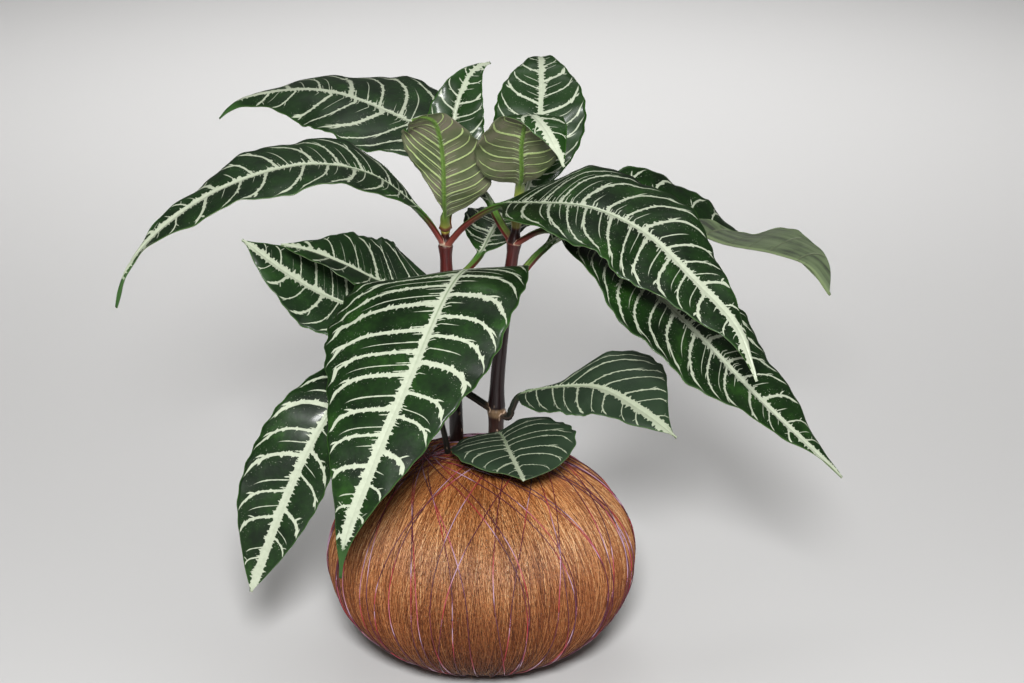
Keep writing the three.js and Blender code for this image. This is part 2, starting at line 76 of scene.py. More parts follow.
class Wire:
    """A node's output, which can be used in sums like a number."""

    __add__ = __radd__ = operator("ADD")
    __sub__ = operator("SUBTRACT")
    __rsub__ = operator("SUBTRACT", flipped=True)
    __mul__ = __rmul__ = operator("MULTIPLY")
    __truediv__ = operator("DIVIDE")
    __rtruediv__ = operator("DIVIDE", flipped=True)
    __pow__ = operator("POWER")
    __gt__ = operator("GREATER_THAN")

    def __init__(self, graph, socket):
        self.graph = graph
        self.socket = socket

    def __abs__(self):
        return self.graph.maths("ABSOLUTE", self)

    def out(self, name):
        return Wire(self.graph, self.socket.node.outputs[name])


class Graph:
    """A node tree in the making, of a material or of geometry."""

    def __init__(self, tree):
        self.tree = tree
        tree.nodes.clear()

    def add(self, kind, settings=None, inputs=None, output=0):
        """Makes a node: first its settings, such as a ramp's stops, then its sockets' values or links."""
        node = self.tree.nodes.new(kind)
        for name, value in (settings or {}).items():
            if name == "stops":
                ramp = node.color_ramp
                ramp.elements[0].position = value[0][0]
                ramp.elements[1].position = value[-1][0]
                for position, _ in value[1:-1]:
                    ramp.elements.new(position)
                for element, (_, colour) in zip(ramp.elements, value):
                    element.color = (*colour, 1)
            else:
                setattr(node, name, value)
        for key, value in (inputs or {}).items():
            if isinstance(value, Wire):
                self.tree.links.new(value.socket, node.inputs[key])
            else:
                node.inputs[key].default_value = value
        return Wire(self, node.outputs[output]) if node.outputs else None

    def maths(self, operation, *values):
        return self.add("ShaderNodeMath", {"operation": operation}, dict(enumerate(values)))

    def larger(self, first, second):
        return self.maths("MAXIMUM", first, second)

    def vector(self, operation, *values):
        return self.add("ShaderNodeVectorMath", {"operation": operation}, dict(enumerate(values)))

    def join(self, x, y, z):
        return self.add("ShaderNodeCombineXYZ", inputs={0: x, 1: y, 2: z})

    def parts(self, vector):
        first = self.add("ShaderNodeSeparateXYZ", inputs={0: vector})
        return first, first.out("Y"), first.out("Z")

    def step(self, value, low, high):
        """0 below low, 1 above high, and smooth between them."""
        sockets = {"Value": value, "From Min": low, "From Max": high}
        return self.add("ShaderNodeMapRange", {"interpolation_type": "SMOOTHSTEP"}, sockets)

    def noise(self, where, scale, detail=2.0):
        return self.add("ShaderNodeTexNoise", inputs={"Vector": where, "Scale": scale, "Detail": detail})

    def ramp(self, value, *stops):
        return self.add("ShaderNodeValToRGB", {"stops": stops}, {0: value})

    def tint(self, share, first, second, method="MIX"):
        """A colour between two others, each a triple or a link."""
        first, second = (c if isinstance(c, Wire) else (*c, 1) for c in (first, second))
        settings = {"data_type": "RGBA", "blend_type": method}
        return self.add("ShaderNodeMix", settings, {0: share, 6: first, 7: second}, output=2)

    def attribute(self, name, output="Fac"):
        return self.add("ShaderNodeAttribute", {"attribute_name": name}, output=output)

    def place(self):
        return self.add("ShaderNodeTexCoord", output="Object")

    def bump(self, height, depth):
        """A normal for a relief whose height goes from 0 to 1 over a depth in metres."""
        return self.add("ShaderNodeBump", inputs={"Height": height, "Distance": depth})

    def random(self, low, high, seed, number=None):
        sockets = {2: low, 3: high, 8: seed}
        if number is not None:
            sockets[7] = number
        return self.add("FunctionNodeRandomValue", inputs=sockets, output=1)

    def copies(self, spots, shape, turned, size=(1, 1, 1)):
        sockets = {0: spots, "Instance": shape, "Rotation": turned, "Scale": size}
        return self.add("GeometryNodeInstanceOnPoints", inputs=sockets)

    def real(self, copies):
        return self.add("GeometryNodeRealizeInstances", inputs={0: copies})

    def moved(self, geometry, place):
        return self.add("GeometryNodeSetPosition", inputs={0: geometry, "Position": place})

    def store(self, geometry, domain, **values):
        for name, value in values.items():
            sockets = {0: geometry, "Name": name, "Value": value}
            geometry = self.add("GeometryNodeStoreNamedAttribute", {"domain": domain}, sockets)
        return geometry

    def stored(self, name):
        return self.add("GeometryNodeInputNamedAttribute", inputs={"Name": name})

    def surface(self, **sockets):
        """Closes a material with its shader. An underscore in a name stands for a space."""
        named = {name.replace("_", " "): value for name, value in sockets.items()}
        shader = self.add("ShaderNodeBsdfPrincipled", inputs=named)
        self.add("ShaderNodeOutputMaterial", inputs={"Surface": shader})


def new_material(name):
    material = bpy.data.materials.new(name)
    material.use_nodes = True
    return material, Graph(material.node_tree)


def new_tree(name, **numbers):
    """A geometry tree with named number inputs, which are whole where their default is."""
    tree = bpy.data.node_groups.new(name, "GeometryNodeTree")
    tree.interface.new_socket("Geometry", in_out="OUTPUT", socket_type="NodeSocketGeometry")
    graph = Graph(tree)
    for key, value in numbers.items():
        kind = "NodeSocketInt" if isinstance(value, int) else "NodeSocketFloat"
        tree.interface.new_socket(key, in_out="INPUT", socket_type=kind).default_value = value
    first = graph.add("NodeGroupInput")
    return tree, graph, [first.out(key) for key in numbers]


def close_tree(graph, geometry, material):
    smooth = graph.add("GeometryNodeSetShadeSmooth", inputs={0: graph.real(geometry)})
    dressed = graph.add("GeometryNodeSetMaterial", inputs={"Geometry": smooth, "Material": material})
    graph.add("NodeGroupOutput", inputs={0: dressed})


def grow(name, tree, **numbers):
    """Runs a geometry tree once and keeps its result as a mesh."""
    piece = add_object(name, bpy.data.meshes.new(name))
    modifier = piece.modifiers.new("build", "NODES")
    modifier.node_group = tree
    for item in tree.interface.items_tree:
        if item.in_out == "INPUT" and item.name in numbers:
            modifier[item.identifier] = numbers[item.name]
    evaluated = piece.evaluated_get(bpy.context.evaluated_depsgraph_get())
    mesh = bpy.data.meshes.new_from_object(evaluated)
    piece.modifiers.remove(modifier)
    piece.data = mesh
    mesh.name = name
    return piece


ball_middle = 61.2 * mm
crown_x = -4 * mm
crown_y = 8 * mm
soil_top = 117.7 * mm
soil_fall = 110 * mm
soil_relief = 2.5 * mm
crumb_size = 1.3 * mm
crumb_relief = 0.7 * mm
crumb_density = 520000.0

soil_material, g = new_material("moist_soil")
where = g.place()
grain = g.noise(where, 260, 6)
lump = g.noise(where, 70, 3)
peat = g.ramp(grain, (0.3, (0.006, 0.004, 0.003)), (0.55, (0.025, 0.014, 0.008)), (0.75, (0.09, 0.05, 0.028)))
g.surface(Base_Color=peat, Roughness=0.95, Normal=g.bump(grain + lump, soil_relief))
soil_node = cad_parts["soil_root_ball"]
soil_node.material_slots[0].material = soil_material

crumb_tree, g, numbers = new_tree("crumbs", reach=20 * mm, density=1.0, size=1 * mm, seed=1)
reach, density, size, seed = numbers
disc = g.add("GeometryNodeMeshCircle", {"fill_type": "TRIANGLE_FAN"}, {"Vertices": 48, "Radius": reach})
spots = g.add("GeometryNodeDistributePointsOnFaces", inputs={"Mesh": disc, "Density": density, "Seed": seed})
crumb = g.add("GeometryNodeMeshIcoSphere", inputs={"Radius": 1.0, "Subdivisions": 2})
turn = g.join(*[g.random(0, math.tau, seed + k) for k in (1, 2, 3)])
girth = g.random(0.35, 1.0, seed + 4) * size
shape = g.join(girth, girth * 0.8, girth * g.random(0.4, 0.9, seed + 5))
crumbs = g.real(g.copies(spots, crumb, turn, shape))
spot = g.add("GeometryNodeInputPosition")
x, y, z = g.parts(spot)
rough = g.noise(spot, 900) - 0.5
sunk = z + rough * crumb_relief - (x * x + y * y) / soil_fall
crumbs = g.moved(crumbs, g.join(x + crown_x, y + crown_y, sunk + soil_top))
close_tree(g, crumbs, soil_material)
soil_crumbs = grow("soil_crumbs", crumb_tree, density=crumb_density, size=crumb_size, seed=11)
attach(soil_crumbs, "root")


# Yarn wrap: thin natural-fibre yarn, wound by hand from crown to foot and back, each turn a little beside
# the last, so that they stand almost upright at the middle and cross in a lattice round the stems. Under
# three layers of single turns is a bed of older ones, felted together.
half_width = 85.5 * mm
half_height = 62 * mm
foot_rise = 0.4 * mm
feet_and_clearances = (
    (-14 * mm, 18 * mm, 5.2 * mm),
    (8 * mm, 10 * mm, 5.3 * mm),
    (-18 * mm, -2 * mm, 2.6 * mm),
)


def on_ball(g, direction, lift, pole=(crown_x, crown_y)):
    """The ball's surface in a direction from its middle, led round the stems and flat at the foot."""
    x, y, z = g.parts(direction)
    lean = g.larger(z, 0.0) ** 2 / half_height
    x += lean * pole[0]
    y += lean * pole[1]
    level = (x * x + y * y) ** 0.5 / (half_width + lift)
    rise = abs(z) / (half_height + lift)
    reach = (level * level + rise * rise) ** -0.5
    x, y, z = x * reach, y * reach, z * reach
    crown = z > 0.5 * half_height
    for foot_x, foot_y, clear in feet_and_clearances:
        aside_x = x - foot_x
        aside_y = y - foot_y
        away = (aside_x * aside_x + aside_y * aside_y) ** 0.5
        push = 1 + crown * g.larger(clear / away - 1, 0.0)
        x = foot_x + aside_x * push
        y = foot_y + aside_y * push
    return g.join(x, y, g.larger(z + ball_middle, foot_rise))


def turns_tree(name, material, pole=(crown_x, crown_y)):
    """Closed turns of yarn or thread round the ball, each beside the last."""
    tree, g, numbers = new_tree(
        name, turns=10, steps=64, sides=3, radius=0.4 * mm, slope=83.0, swing=3.0, loose=1.0, low=0.0,
        high=0.5 * mm, wander=0.006, seed=1,
    )
    turns, steps, sides, radius, slope, swing, loose, low, high, wander, seed = numbers
    number = g.add("GeometryNodeInputIndex")
    jitter = g.random(0, 0.5, seed, number)
    turn = (number + jitter) / turns * math.tau
    slope += g.maths("SINE", turn * 5 + seed) * swing
    slope = (slope + g.random(-1.0, 1.0, seed + 1, number) * loose) * math.radians(1)
    ring = g.add("GeometryNodeCurvePrimitiveCircle", inputs={"Resolution": steps, "Radius": 1.0})
    starts = g.add("GeometryNodePoints", inputs={"Count": turns})
    rings = g.copies(starts, ring, g.join(slope, 0.0, turn))
    strand = g.random(0, 1.0, seed + 2, number)
    height = g.random(low, high, seed + 3, number)
    rings = g.store(rings, "INSTANCE", strand=strand, height=height)
    run = g.add("GeometryNodeSplineParameter", output="Length") * half_width
    rings = g.store(g.real(rings), "POINT", run=run)
    strand = g.stored("strand")
    height = g.stored("height")
    spot = g.add("GeometryNodeInputPosition")
    drift = g.noise(g.vector("ADD", spot, g.join(strand * 90, strand * 70, 0.0)), 3.0).out("Color")
    drift = g.vector("SUBTRACT", drift, (0.5, 0.5, 0.5))
    strayed = g.vector("MULTIPLY_ADD", drift, g.join(wander, wander, wander), spot)
    ripple = (g.noise(g.join(run * 60, strand * 50, 0.0), 1.0) - 0.5) * (high - low)
    rings = g.moved(rings, on_ball(g, g.vector("NORMALIZE", strayed), height + ripple, pole))
    section = g.add("GeometryNodeCurvePrimitiveCircle", inputs={"Resolution": sides, "Radius": radius})
    strands = g.add("GeometryNodeCurveToMesh", inputs={"Curve": rings, "Profile Curve": section})
    close_tree(g, strands, material)
    return tree


# Scale and wobble, in height, of the shade and sheen painted on the yarn.
painted_light_height = 140 * mm
painted_light_wobble = 30 * mm
twist_relief = 0.15 * mm
bed_relief = 0.8 * mm
bed_lift = -0.9 * mm

yarn_material, g = new_material("coir_yarn")
where = g.place()
strand = g.attribute("strand")
run = g.attribute("run")
stretch = g.noise(g.join(run * 25, strand * 900, 0.0), 1.0)
fleck = g.noise(g.join(run * 1100, strand * 900, 0.0), 1.0)
patch = g.noise(where, 22)
shade = 0.5 + (stretch - 0.5) * 0.45 + (fleck - 0.5) * 0.5 + (patch - 0.5) * 0.15 + (strand - 0.5) * 0.35
yarn_colour = g.ramp(
    shade, (0.2, (0.07, 0.02, 0.006)), (0.4, (0.27, 0.095, 0.028)), (0.6, (0.52, 0.25, 0.1)),
    (0.8, (0.8, 0.56, 0.32)),
)
# Painted shade and sheen by height: the yarn is multiplied darker towards its foot, as if shaded from above,
# kept at full brightness in a band a little above the middle as a painted satin highlight, and made a little
# darker and warmer at the crown.
painted_shade_and_sheen = g.ramp(
    (g.parts(where)[2] + patch * painted_light_wobble) / painted_light_height,
    (0.25, (0.42, 0.27, 0.17)), (0.52, (0.58, 0.4, 0.27)), (0.65, (0.78, 0.65, 0.53)), (0.76, (1, 1, 1)),
    (0.84, (1, 0.96, 0.87)), (0.93, (0.9, 0.73, 0.52)),
)
yarn_colour = g.tint(1.0, yarn_colour, painted_shade_and_sheen, "MULTIPLY")
yarn_colour = g.tint(g.step(fleck, 0.58, 0.66) * 0.7, yarn_colour, (0.1, 0.03, 0.008))
twist = g.noise(g.join(run * 900, strand * 900, 0.0), 1.0)
g.surface(Base_Color=yarn_colour, Roughness=0.5, Normal=g.bump(twist, twist_relief))

bed_material, g = new_material("felted_yarn_bed")
where = g.place()
streaks = g.noise(g.vector("MULTIPLY", where, (1.0, 1.0, 0.12)), 900, 3)
felt = g.ramp(streaks, (0.3, (0.05, 0.016, 0.005)), (0.55, (0.26, 0.1, 0.028)), (0.75, (0.45, 0.2, 0.07)))
g.surface(Base_Color=felt, Roughness=0.9, Normal=g.bump(streaks, bed_relief))

bed_tree, g, (opening,) = new_tree("yarn_bed", opening=0.97)
sphere = g.add("GeometryNodeMeshUVSphere", inputs={"Segments": 144, "Rings": 72, "Radius": 1.0})
spot = g.add("GeometryNodeInputPosition")
at_crown = g.parts(spot)[2] > opening
shell = g.add("GeometryNodeDeleteGeometry", {"domain": "FACE"}, {0: sphere, "Selection": at_crown})
close_tree(g, g.moved(shell, on_ball(g, spot, bed_lift)), bed_material)
yarn_bed = grow("yarn_bed", bed_tree)

yarn_tree = turns_tree("yarn_turns", yarn_material)
yarn_under = grow(
    "yarn_under_turns", yarn_tree, turns=600, steps=48, radius=0.28 * mm, slope=85.0, swing=1.2, loose=0.2,
    low=-0.9 * mm, high=-0.5 * mm, seed=21,
)
yarn_over = grow(
    "yarn_over_turns", yarn_tree, turns=560, steps=48, radius=0.27 * mm, slope=85.0, swing=1.6, loose=0.2,
    low=-0.2 * mm, high=0.2 * mm, wander=0.003, seed=57,
)
yarn_last = grow(
    "yarn_last_turns", yarn_tree, turns=280, steps=72, radius=0.22 * mm, slope=82.0, swing=4.5, low=0.3 * mm,
    high=0.6 * mm, seed=90,
)
for piece in (yarn_bed, yarn_under, yarn_over, yarn_last):
    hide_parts("coir_wrap")
    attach(piece, "root")


# Binding thread: one long, fine sewing thread whose colour runs from plum through red to white, taken round
# and round the finished ball, well apart, to hold the yarn down.
thread_radius = 0.27 * mm
fan_middle = (-31 * mm, -3 * mm)
ring_middle = (22 * mm, 14 * mm)

thread_material, g = new_material("variegated_thread")
strand = g.attribute("strand")
run = g.attribute("run")
dye = g.maths("FRACT", run * 13 + strand * 17 + g.noise(g.join(run * 25, strand * 400, 0.0), 1.0))
thread_colour = g.ramp(
    dye, (0.0, (0.06, 0.01, 0.022)), (0.4, (0.11, 0.012, 0.024)), (0.52, (0.33, 0.02, 0.03)),
    (0.64, (0.38, 0.07, 0.1)), (0.72, (0.42, 0.24, 0.32)), (0.82, (0.4, 0.26, 0.36)),
    (0.88, (0.12, 0.03, 0.06)), (1.0, (0.06, 0.01, 0.022)),
)
g.surface(Base_Color=thread_colour, Roughness=0.45)
fan_tree = turns_tree("thread_fan", thread_material, fan_middle)
thread_fan = grow(
    "thread_fan", fan_tree, turns=18, steps=120, sides=5, radius=thread_radius, slope=88.0, swing=0.8,
    loose=0.6, low=1.0 * mm, high=1.2 * mm, wander=0.012, seed=5,
)
ring_tree = turns_tree("thread_ring", thread_material, ring_middle)
thread_ring = grow(
    "thread_ring", ring_tree, turns=16, steps=120, sides=5, radius=thread_radius, slope=84.0, swing=3.0,
    low=1.0 * mm, high=1.3 * mm, wander=0.02, seed=8,
)
for piece in (thread_fan, thread_ring):
    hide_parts("binding_thread")
    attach(piece, "root")


# Stray fibres: ends of coir, as fine as hair and curled, that stand off the yarn all over the ball. They are
# fibres that the spinning left loose, and each is held only by the twist of the strand that it comes out of.
fibre_lift = 0.3 * mm
fibre_lean = 0.9

fibre_material, g = new_material("stray_fibre")
g.surface(Base_Color=(0.5, 0.27, 0.11, 1), Roughness=0.6)
fibre_tree, g, numbers = new_tree("fibres", count=100, length=4 * mm, radius=0.05 * mm, seed=1)
count, length, radius, seed = numbers
number = g.add("GeometryNodeInputIndex")
tall = g.random(-0.7, 0.93, seed, number)
turn = g.random(0, math.tau, seed + 1, number)
across = (1 - tall * tall) ** 0.5
root = g.join(across * g.maths("COSINE", turn), across * g.maths("SINE", turn), tall)
spots = g.add("GeometryNodePoints", inputs={"Count": count, "Position": on_ball(g, root, fibre_lift)})
curl = {"Start Handle": (0.1, 0.1, 0.2), "End Handle": (0.5, 0, 0.5), "End": (1, 0.3, 0.25)}
sockets = {"Resolution": 6, "Start": (0, 0, 0), **curl}
hair = g.add("GeometryNodeCurvePrimitiveBezierSegment", inputs=sockets)
turned = g.join(
    g.random(-fibre_lean, fibre_lean, seed + 2, number),
    g.random(0, math.tau, seed + 4, number),
    g.random(0, math.tau, seed + 6, number),
)
grown = g.random(0.3, 1.0, seed + 5, number) * length
hairs = g.real(g.copies(spots, hair, turned, g.join(grown, grown, grown)))
section = g.add("GeometryNodeCurvePrimitiveCircle", inputs={"Resolution": 3, "Radius": radius})
sockets = {"Curve": hairs, "Profile Curve": section, "Fill Caps": True}
close_tree(g, g.add("GeometryNodeCurveToMesh", inputs=sockets), fibre_material)
stray_fibres = grow("stray_fibres", fibre_tree, count=420, seed=31)
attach(stray_fibres, "root")


# Stems: two upright, slightly four-sided shoots with a swollen joint wherever a pair of leaves leaves them.
# They are brown and ringed with pale scars at the foot, wine-red above, and end in a soft yellow-green shoot.
# Beside them stands the dried stalk of a fallen leaf.
def unit(vectors):
    return vectors / np.linalg.norm(vectors, axis=-1, keepdims=True)


def smooth(x):
    x = np.clip(x, 0, 1)
    return x * x * (3 - 2 * x)


def curve_through(route, steps=400):
    """Points along a centripetal curve through the route's points, with their distances from its start."""
    points = np.array(route, float) * mm
    points = np.vstack([2 * points[0] - points[1], points, 2 * points[-1] - points[-2]])
    spans = len(route) - 1
    line = []
    for k in range(steps + 1):
        place = k / steps * spans
        span = min(int(place), spans - 1)
        w = place - span
        p0, p1, p2, p3 = points[span:span + 4]
        d0, d1, d2 = np.linalg.norm(np.diff(points[span:span + 4], axis=0), axis=1) ** 0.5
        leave = ((p1 - p0) / d0 - (p2 - p0) / (d0 + d1) + (p2 - p1) / d1) * d1
        arrive = ((p2 - p1) / d1 - (p3 - p1) / (d1 + d2) + (p3 - p2) / d2) * d1
        curved = -3 * p1 + 3 * p2 - 2 * leave - arrive
        cubed = 2 * p1 - 2 * p2 + leave + arrive
        line.append(p1 + leave * w + curved * w * w + cubed * w ** 3)
    line = np.array(line)
    distances = np.concatenate([[0], np.cumsum(np.linalg.norm(np.diff(line, axis=0), axis=1))])
    return line, distances


def along_curve(line, distances, wanted):
    """The points and directions of a curve at the wanted distances."""
    slopes = np.gradient(line, distances, axis=0)
    points = np.stack([np.interp(wanted, distances, line[:, k]) for k in range(3)], 1)
    ways = np.stack([np.interp(wanted, distances, slopes[:, k]) for k in range(3)], 1)
    return points, unit(ways)


def ringed_mesh(name, points, material, attributes):
    """A closed smooth mesh from a grid of points, rings by corners, with its ends filled."""
    rings, corners = points.shape[:2]
    index = np.arange(rings * corners).reshape(rings, corners)
    ahead = np.roll(index, -1, axis=1)
    quads = np.stack([index[:-1], ahead[:-1], ahead[1:], index[1:]], -1).reshape(-1, 4)
    faces = quads.tolist() + [index[0][::-1].tolist(), index[-1].tolist()]
    mesh = bpy.data.meshes.new(name)
    mesh.from_pydata(points.reshape(-1, 3).tolist(), [], faces)
    mesh.shade_smooth()
    for key, values in attributes.items():
        kind, field = ("FLOAT_COLOR", "color") if values.ndim == 3 else ("FLOAT", "value")
        attribute = mesh.attributes.new(key, kind, "POINT")
        attribute.data.foreach_set(field, values.astype(np.float32).ravel())
    mesh.materials.append(material)
    return add_object(name, mesh)


def mixed_tints(places, stops):
    """Colours at places along a line of stops, each a place and a triple, as an array with alpha."""
    at, colours = zip(*stops)
    channels = [np.interp(places, at, channel) for channel in zip(*colours)]
    return np.stack([*channels, np.ones_like(places)], -1)


stem_material, g = new_material("stem_skin")
where = g.place()
tint = g.attribute("tint", "Color")
streak = g.noise(g.vector("MULTIPLY", where, (1.0, 1.0, 0.18)), 700, 3)
speck = g.step(g.noise(g.vector("MULTIPLY", where, (1.0, 1.0, 0.5)), 420, 1), 0.69, 0.74)
skin = g.tint((streak - 0.4) * 1.6, tint, (0.006, 0.003, 0.003))
low_down = 1 - g.step(g.parts(where)[2], 138 * mm, 141 * mm)
skin = g.tint(speck * (0.25 + low_down * 0.6), skin, (0.34, 0.24, 0.17))
g.surface(
    Base_Color=skin, Roughness=0.3 + streak * 0.2, Specular_IOR_Level=0.3, Coat_Weight=0.3,
    Coat_Roughness=0.08, Normal=g.bump(streak, 0.25 * mm),
)

wine = (0.07, 0.009, 0.008)
deep_wine = (0.048, 0.006, 0.005)
dark_wine = (0.026, 0.005, 0.005)
pale_wine = (0.16, 0.05, 0.04)
plum = (0.013, 0.004, 0.005)
bark = (0.03, 0.012, 0.009)
scar = (0.22, 0.14, 0.08)
seam = (0.42, 0.3, 0.22)
shoot_ring = (0.1, 0.022, 0.012)
shoot = (0.3, 0.27, 0.045)
STEMS = {
    "left": dict(
        route=[(-13, 18, 92), (-14, 18, 121), (-15, 18, 158), (-18, 16, 205), (-19, 15, 235),
            (-19, 13, 250)],
        radii=(4.0, 3.1, 1.8), shoot=237, joints=(188, 214, 236), bulge=246,
        tints=[(110, bark), (150, plum), (205, wine), (236, wine), (236.5, pale_wine), (237, dark_wine),
            (243.4, dark_wine), (244.2, shoot_ring), (245, shoot), (250, shoot)],
    ),
    "right": dict(
        route=[(8, 10, 92), (8, 10, 125), (9, 10, 161), (13, 10, 201), (18, 10, 238), (20, 9, 257)],
        radii=(4.5, 3.1, 2.2), shoot=240, joints=(143, 208, 239), bulge=252,
        tints=[(112, bark), (139, bark), (141, scar), (144, scar), (145, plum), (200, (0.03, 0.006, 0.007)),
            (215, deep_wine), (239, deep_wine), (239.5, pale_wine), (240, dark_wine), (247, dark_wine),
            (248, shoot_ring), (249, shoot)],
    ),
    "old": dict(
        route=[(-17, -1, 92), (-18, -2, 117), (-19, -4, 128), (-22, -7, 144)],
        radii=(1.9, 1.5, 1.5), shoot=200, joints=(), bulge=200,
        tints=[(112, (0.012, 0.01, 0.008)), (130, (0.03, 0.03, 0.024)), (144, (0.05, 0.045, 0.035))],
    ),
}
JOINT_SWELL = 0.22
JOINT_REACH = 4
RIDGE = 0.06
GROOVE = 0.05
GROOVE_RISE = 1.6
RIDGE_REACH = 0.6
SHOOT_TAPER = 5
SHOOT_BULGE = 0.38
BULGE_REACH = 2.6
SQUARENESS = 0.035
STEM_CORNERS = 32
STEM_STEP = 0.7 * mm
TIP_ROUNDING = 2 * mm


def stem_radius(stem, height):
    """A stem's radius at a height, both in millimetres. It tapers and swells at its joints and its shoot."""
    bottom, top = stem["route"][0][2], stem["route"][-1][2]
    foot, neck, tip = stem["radii"]
    share = np.clip((height - bottom) / (min(top, stem["shoot"]) - bottom), 0, 1)
    into_shoot = np.clip((height - stem["shoot"]) / SHOOT_TAPER, 0, 1)
    radius = foot + (neck - foot) * share + (tip - neck) * into_shoot
    radius *= 1 + SHOOT_BULGE * np.exp(-((height - stem["bulge"]) / BULGE_REACH) ** 2)
    for joint in stem["joints"]:
        above = height - joint
        away = above / np.where(above > 0, 2 * JOINT_REACH, JOINT_REACH)
        ridge = RIDGE * np.exp(-(above / RIDGE_REACH) ** 2)
        groove = GROOVE * np.exp(-((above - GROOVE_RISE) / RIDGE_REACH) ** 2)
        radius *= 1 + JOINT_SWELL * np.exp(-away * away) + ridge - groove
    return radius


def build_stem(name, stem):
    line, distances = curve_through(stem["route"])
    wanted = np.linspace(0, distances[-1], int(distances[-1] / STEM_STEP))
    centres, ways = along_curve(line, distances, wanted)
    heights = centres[:, 2] / mm
    radii = stem_radius(stem, heights) * mm
    radii *= np.sqrt(np.clip((distances[-1] - wanted) / TIP_ROUNDING, 0.02, 1))
    turn = np.linspace(0, math.tau, STEM_CORNERS, endpoint=False)
    sides = unit(np.cross(ways, (0.0, 1.0, 0.0)))
    fronts = np.cross(ways, sides)
    squared = 1 + SQUARENESS * np.cos(4 * turn)
    ring = sides[:, None] * np.cos(turn)[None, :, None] + fronts[:, None] * np.sin(turn)[None, :, None]
    points = centres[:, None] + ring * radii[:, None, None] * squared[None, :, None]
    tints = np.repeat(mixed_tints(heights, stem["tints"])[:, None], STEM_CORNERS, axis=1)
    return ringed_mesh(name, points, stem_material, {"tint": tints})


for key, node, slot in (
    ("left", "stem_left", "stem"), ("right", "stem_right", "stem"), ("old", "old_leaf_stalk", "old_stalk"),
):
    piece = build_stem("jointed_" + node, STEMS[key])
    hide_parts(node)
    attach(piece, "root")


# Leaves: sixteen thick, glossy blades, each on a fleshy channelled stalk that clasps its stem. They are
# dark green above, with a creamy-white midrib and side veins that turn forward near the edge and fade, and
# pale and satin below. Each blade droops, folds a little along its midrib and has a waved, rimmed edge.
def vein_masks(g, ragged):
    """How much white and how much raised vein is at a point of a blade, and how far it is from the midrib."""
    names = ("vein", "vein_gap", "vein_half", "across", "along", "outward", "rib_half")
    number, gap, band, across, along, outward, rib_half = map(g.attribute, names)
    far = abs(across)
    nearest = g.maths("FLOOR", number + 0.5)
    past = number - nearest
    away = abs(past) * gap
    hand = g.maths("SIGN", across) * 0.3
    barbs = g.noise(g.join(across * 640, nearest * 7.3 + (past > 0.0) * 3.1, along * 60), 1.0, 3)
    barb = g.larger(barbs - 0.52, 0.0) * g.maths("MINIMUM", band * 1100, 1.0) * ragged
    inside = band * (0.55 + barbs * 0.8) + barb * 7 * mm * (0.6 + far * 12) - away
    line = g.step(inside, -0.12 * mm, 0.15 * mm) * g.step(band, 0.05 * mm, 0.2 * mm)
    luck = g.add("ShaderNodeTexWhiteNoise", {"noise_dimensions": "1D"}, {"W": nearest * 1.7 + hand})
    past_fork = outward - (0.42 + luck * 0.4)
    fork_away = abs(past + past_fork * (0.8 + luck)) * gap
    fork_band = band * 0.5 * g.step(past_fork, 0.0, 0.03) * (1 - g.step(past_fork, 0.1, 0.24)) * ragged
    fork = g.step(fork_band * (0.4 + barbs * 1.2) - fork_away, -0.1 * mm, 0.12 * mm)
    line = g.larger(line, fork * g.step(fork_band, 0.03 * mm, 0.12 * mm))
    spur = 0.0
    for split, reach in ((1, 0.6), (3, 0.16)):
        finer = number * split
        seed = g.maths("FLOOR", finer) * 1.3 + hand + split
        chance = g.add("ShaderNodeTexWhiteNoise", {"noise_dimensions": "1D"}, {"W": seed})
        middle = 0.5 + (chance - 0.5) * 0.4
        spur_away = abs(g.maths("FRACT", finer) - middle) * gap / split
        spur_fade = 1 - g.step(outward, chance * reach + 0.02, chance * reach + 0.5 * reach)
        spur_band = g.attribute("spur_half") * spur_fade * (0.4 + barbs * 1.2)
        drawn = g.step(spur_band - spur_away, -0.1 * mm, 0.12 * mm) * g.step(spur_band, 0.03 * mm, 0.12 * mm)
        spur = g.larger(drawn, spur)
    rib_barbs = g.noise(g.join(along * 620, (across > 0.0) * 9.7, 0.0), 1.0, 3)
    rib_edge = rib_half * (0.5 + rib_barbs) + g.larger(rib_barbs - 0.5, 0.0) * 8 * mm * ragged
    rib = g.step(rib_edge - far, -0.12 * mm, 0.18 * mm) * g.step(rib_half, 0.1 * mm, 0.3 * mm)
    speck = g.step(g.noise(g.place(), 1500, 1), 0.7, 0.74)
    speck = speck * (1 - g.step(away, 2 * mm, 5 * mm)) * g.step(band, 0.3 * mm, 0.6 * mm)
    white = g.larger(g.larger(line, spur), g.larger(rib, speck * 0.8))
    ridges = g.larger(line, spur * 0.6)
    return white, ridges, far


def with_stalk(g, blade):
    """The blade's colour, or the skin's own on the stalk, which has a pale seam where it clasps its stem."""
    at_stem = 1 - g.step(g.attribute("off_stem"), 0.25 * mm, 0.7 * mm)
    skin = g.tint(at_stem, g.attribute("tint", "Color"), seam)
    return g.tint(g.attribute("stalk"), blade, skin)


rim_width = 0.8 * mm
rib_width = 1.5 * mm
upper_relief = 0.3 * mm
lower_relief = 0.6 * mm

leaf_upper, g = new_material("leaf_upper_side")
where = g.place()
white, _, far = vein_masks(g, ragged=1.0)
dull = g.attribute("dull")
young = g.attribute("young")
cloud = g.noise(where, 55, 3)
grain = g.noise(where, 420, 3)
green = g.ramp(
    cloud + (grain - 0.5) * 0.3,
    (0.35, (0.0035, 0.0105, 0.0028)), (0.58, (0.0075, 0.025, 0.0045)), (0.8, (0.018, 0.06, 0.008)),
)
green = g.tint(young, green, g.tint(cloud, (0.004, 0.018, 0.002), (0.012, 0.048, 0.005)))
